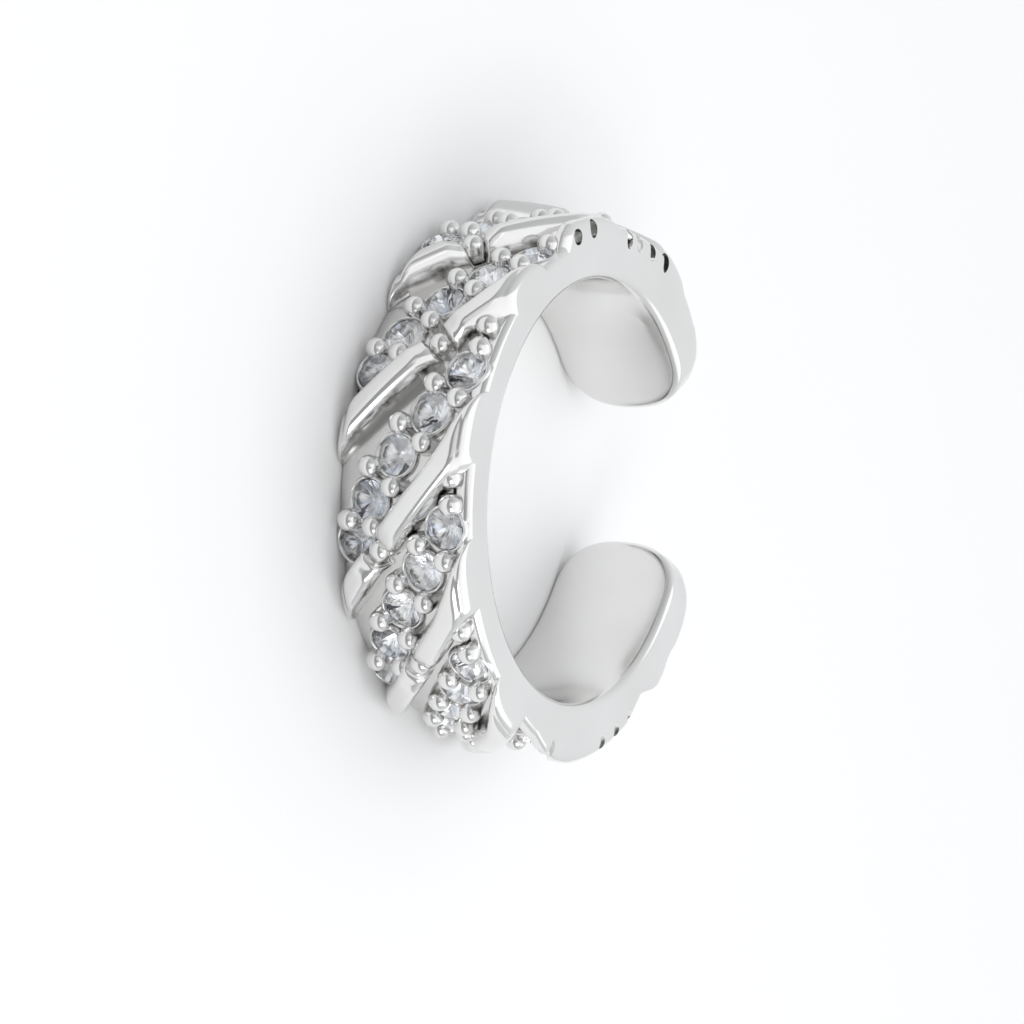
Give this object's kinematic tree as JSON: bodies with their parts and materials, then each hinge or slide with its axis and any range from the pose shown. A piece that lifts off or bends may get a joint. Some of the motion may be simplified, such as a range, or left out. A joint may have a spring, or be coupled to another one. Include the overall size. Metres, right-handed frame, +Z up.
{
  "type": "ear cuff",
  "caption": "Open C-shaped metal ear cuff with slanted raised bars and paved channels of small round stones between them.",
  "frame": {"origin": "middle of the cuff's box, at its base, on the surface that it lies on", "axes": "+Z up along the band's axis, +X towards the opening between the two ends, +Y across, the longest way"},
  "size_m": [0.012, 0.0128, 0.0033],
  "materials": {
    "polished_metal": "bright rhodium-plated silver, mirror polished"
  },
  "bodies": {
    "root": {"cuff_body": "polished_metal"}
  },
  "joints": []
}
